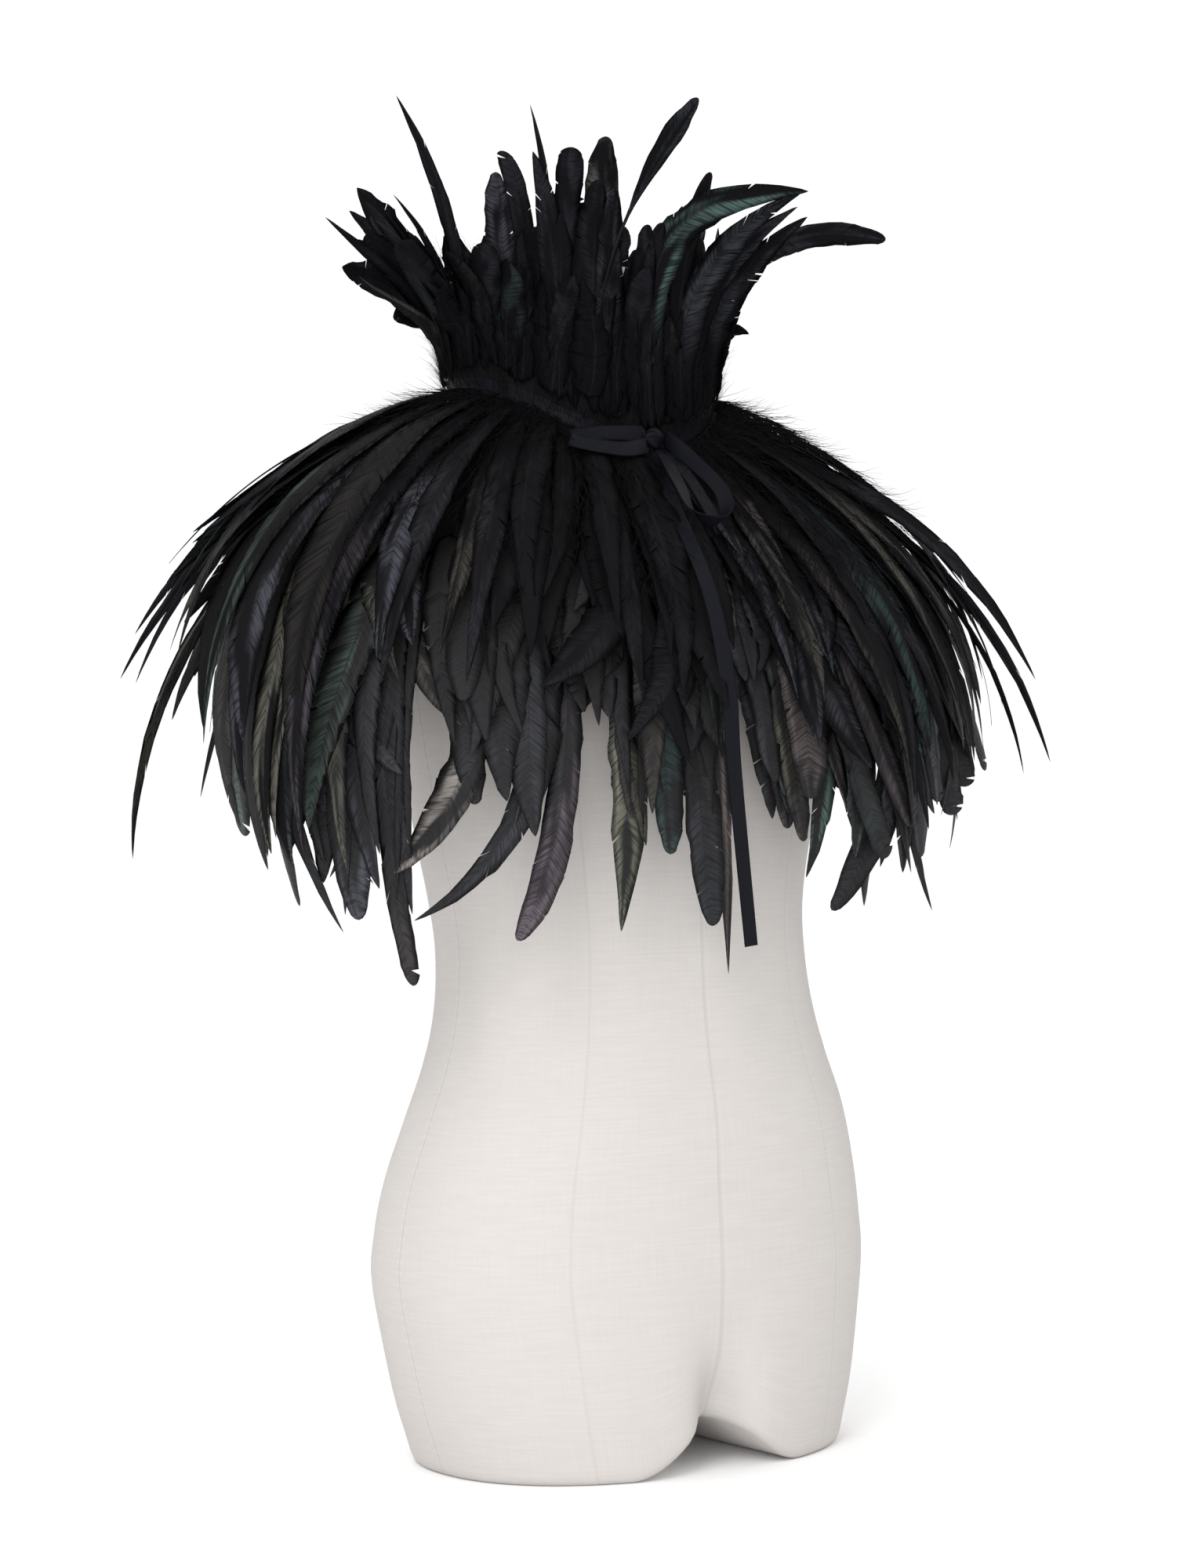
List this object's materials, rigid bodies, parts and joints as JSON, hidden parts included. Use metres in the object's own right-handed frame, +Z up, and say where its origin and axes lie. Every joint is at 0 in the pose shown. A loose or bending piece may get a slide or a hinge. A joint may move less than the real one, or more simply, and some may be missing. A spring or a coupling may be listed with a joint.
{
  "type": "feather cape on a limbless dress form",
  "caption": "Short black feather cape with a standing feather collar and a ribbon bow, worn by a linen-covered limbless dress form",
  "frame": {"origin": "On the floor under the middle of the object's box, at the bottom of the dress form", "axes": "+Z up along the form, +X to the wearer's left, -Y to the wearer's front"},
  "size_m": [0.5411, 0.396, 0.8688],
  "materials": {
    "form_linen": "matt linen weave",
    "cape_cloth": "matt black cloth",
    "feathers": "black feather with a green and blue sheen",
    "ribbon_satin": "satin ribbon"
  },
  "bodies": {
    "root": {"dress_form": "form_linen", "yoke": "cape_cloth", "collar_stand": "cape_cloth", "neck_band": "ribbon_satin", "cape_feathers_row_1": "feathers", "cape_feathers_row_2": "feathers", "cape_feathers_row_3": "feathers", "cape_feathers_row_4": "feathers", "cape_feathers_row_5": "feathers", "collar_feathers_outer": "feathers", "collar_feathers_inner": "feathers", "ribbon_knot": "ribbon_satin", "ribbon_loop_left": "ribbon_satin", "ribbon_loop_right": "ribbon_satin", "ribbon_tail_long": "ribbon_satin", "ribbon_tail_short": "ribbon_satin"}
  },
  "joints": []
}
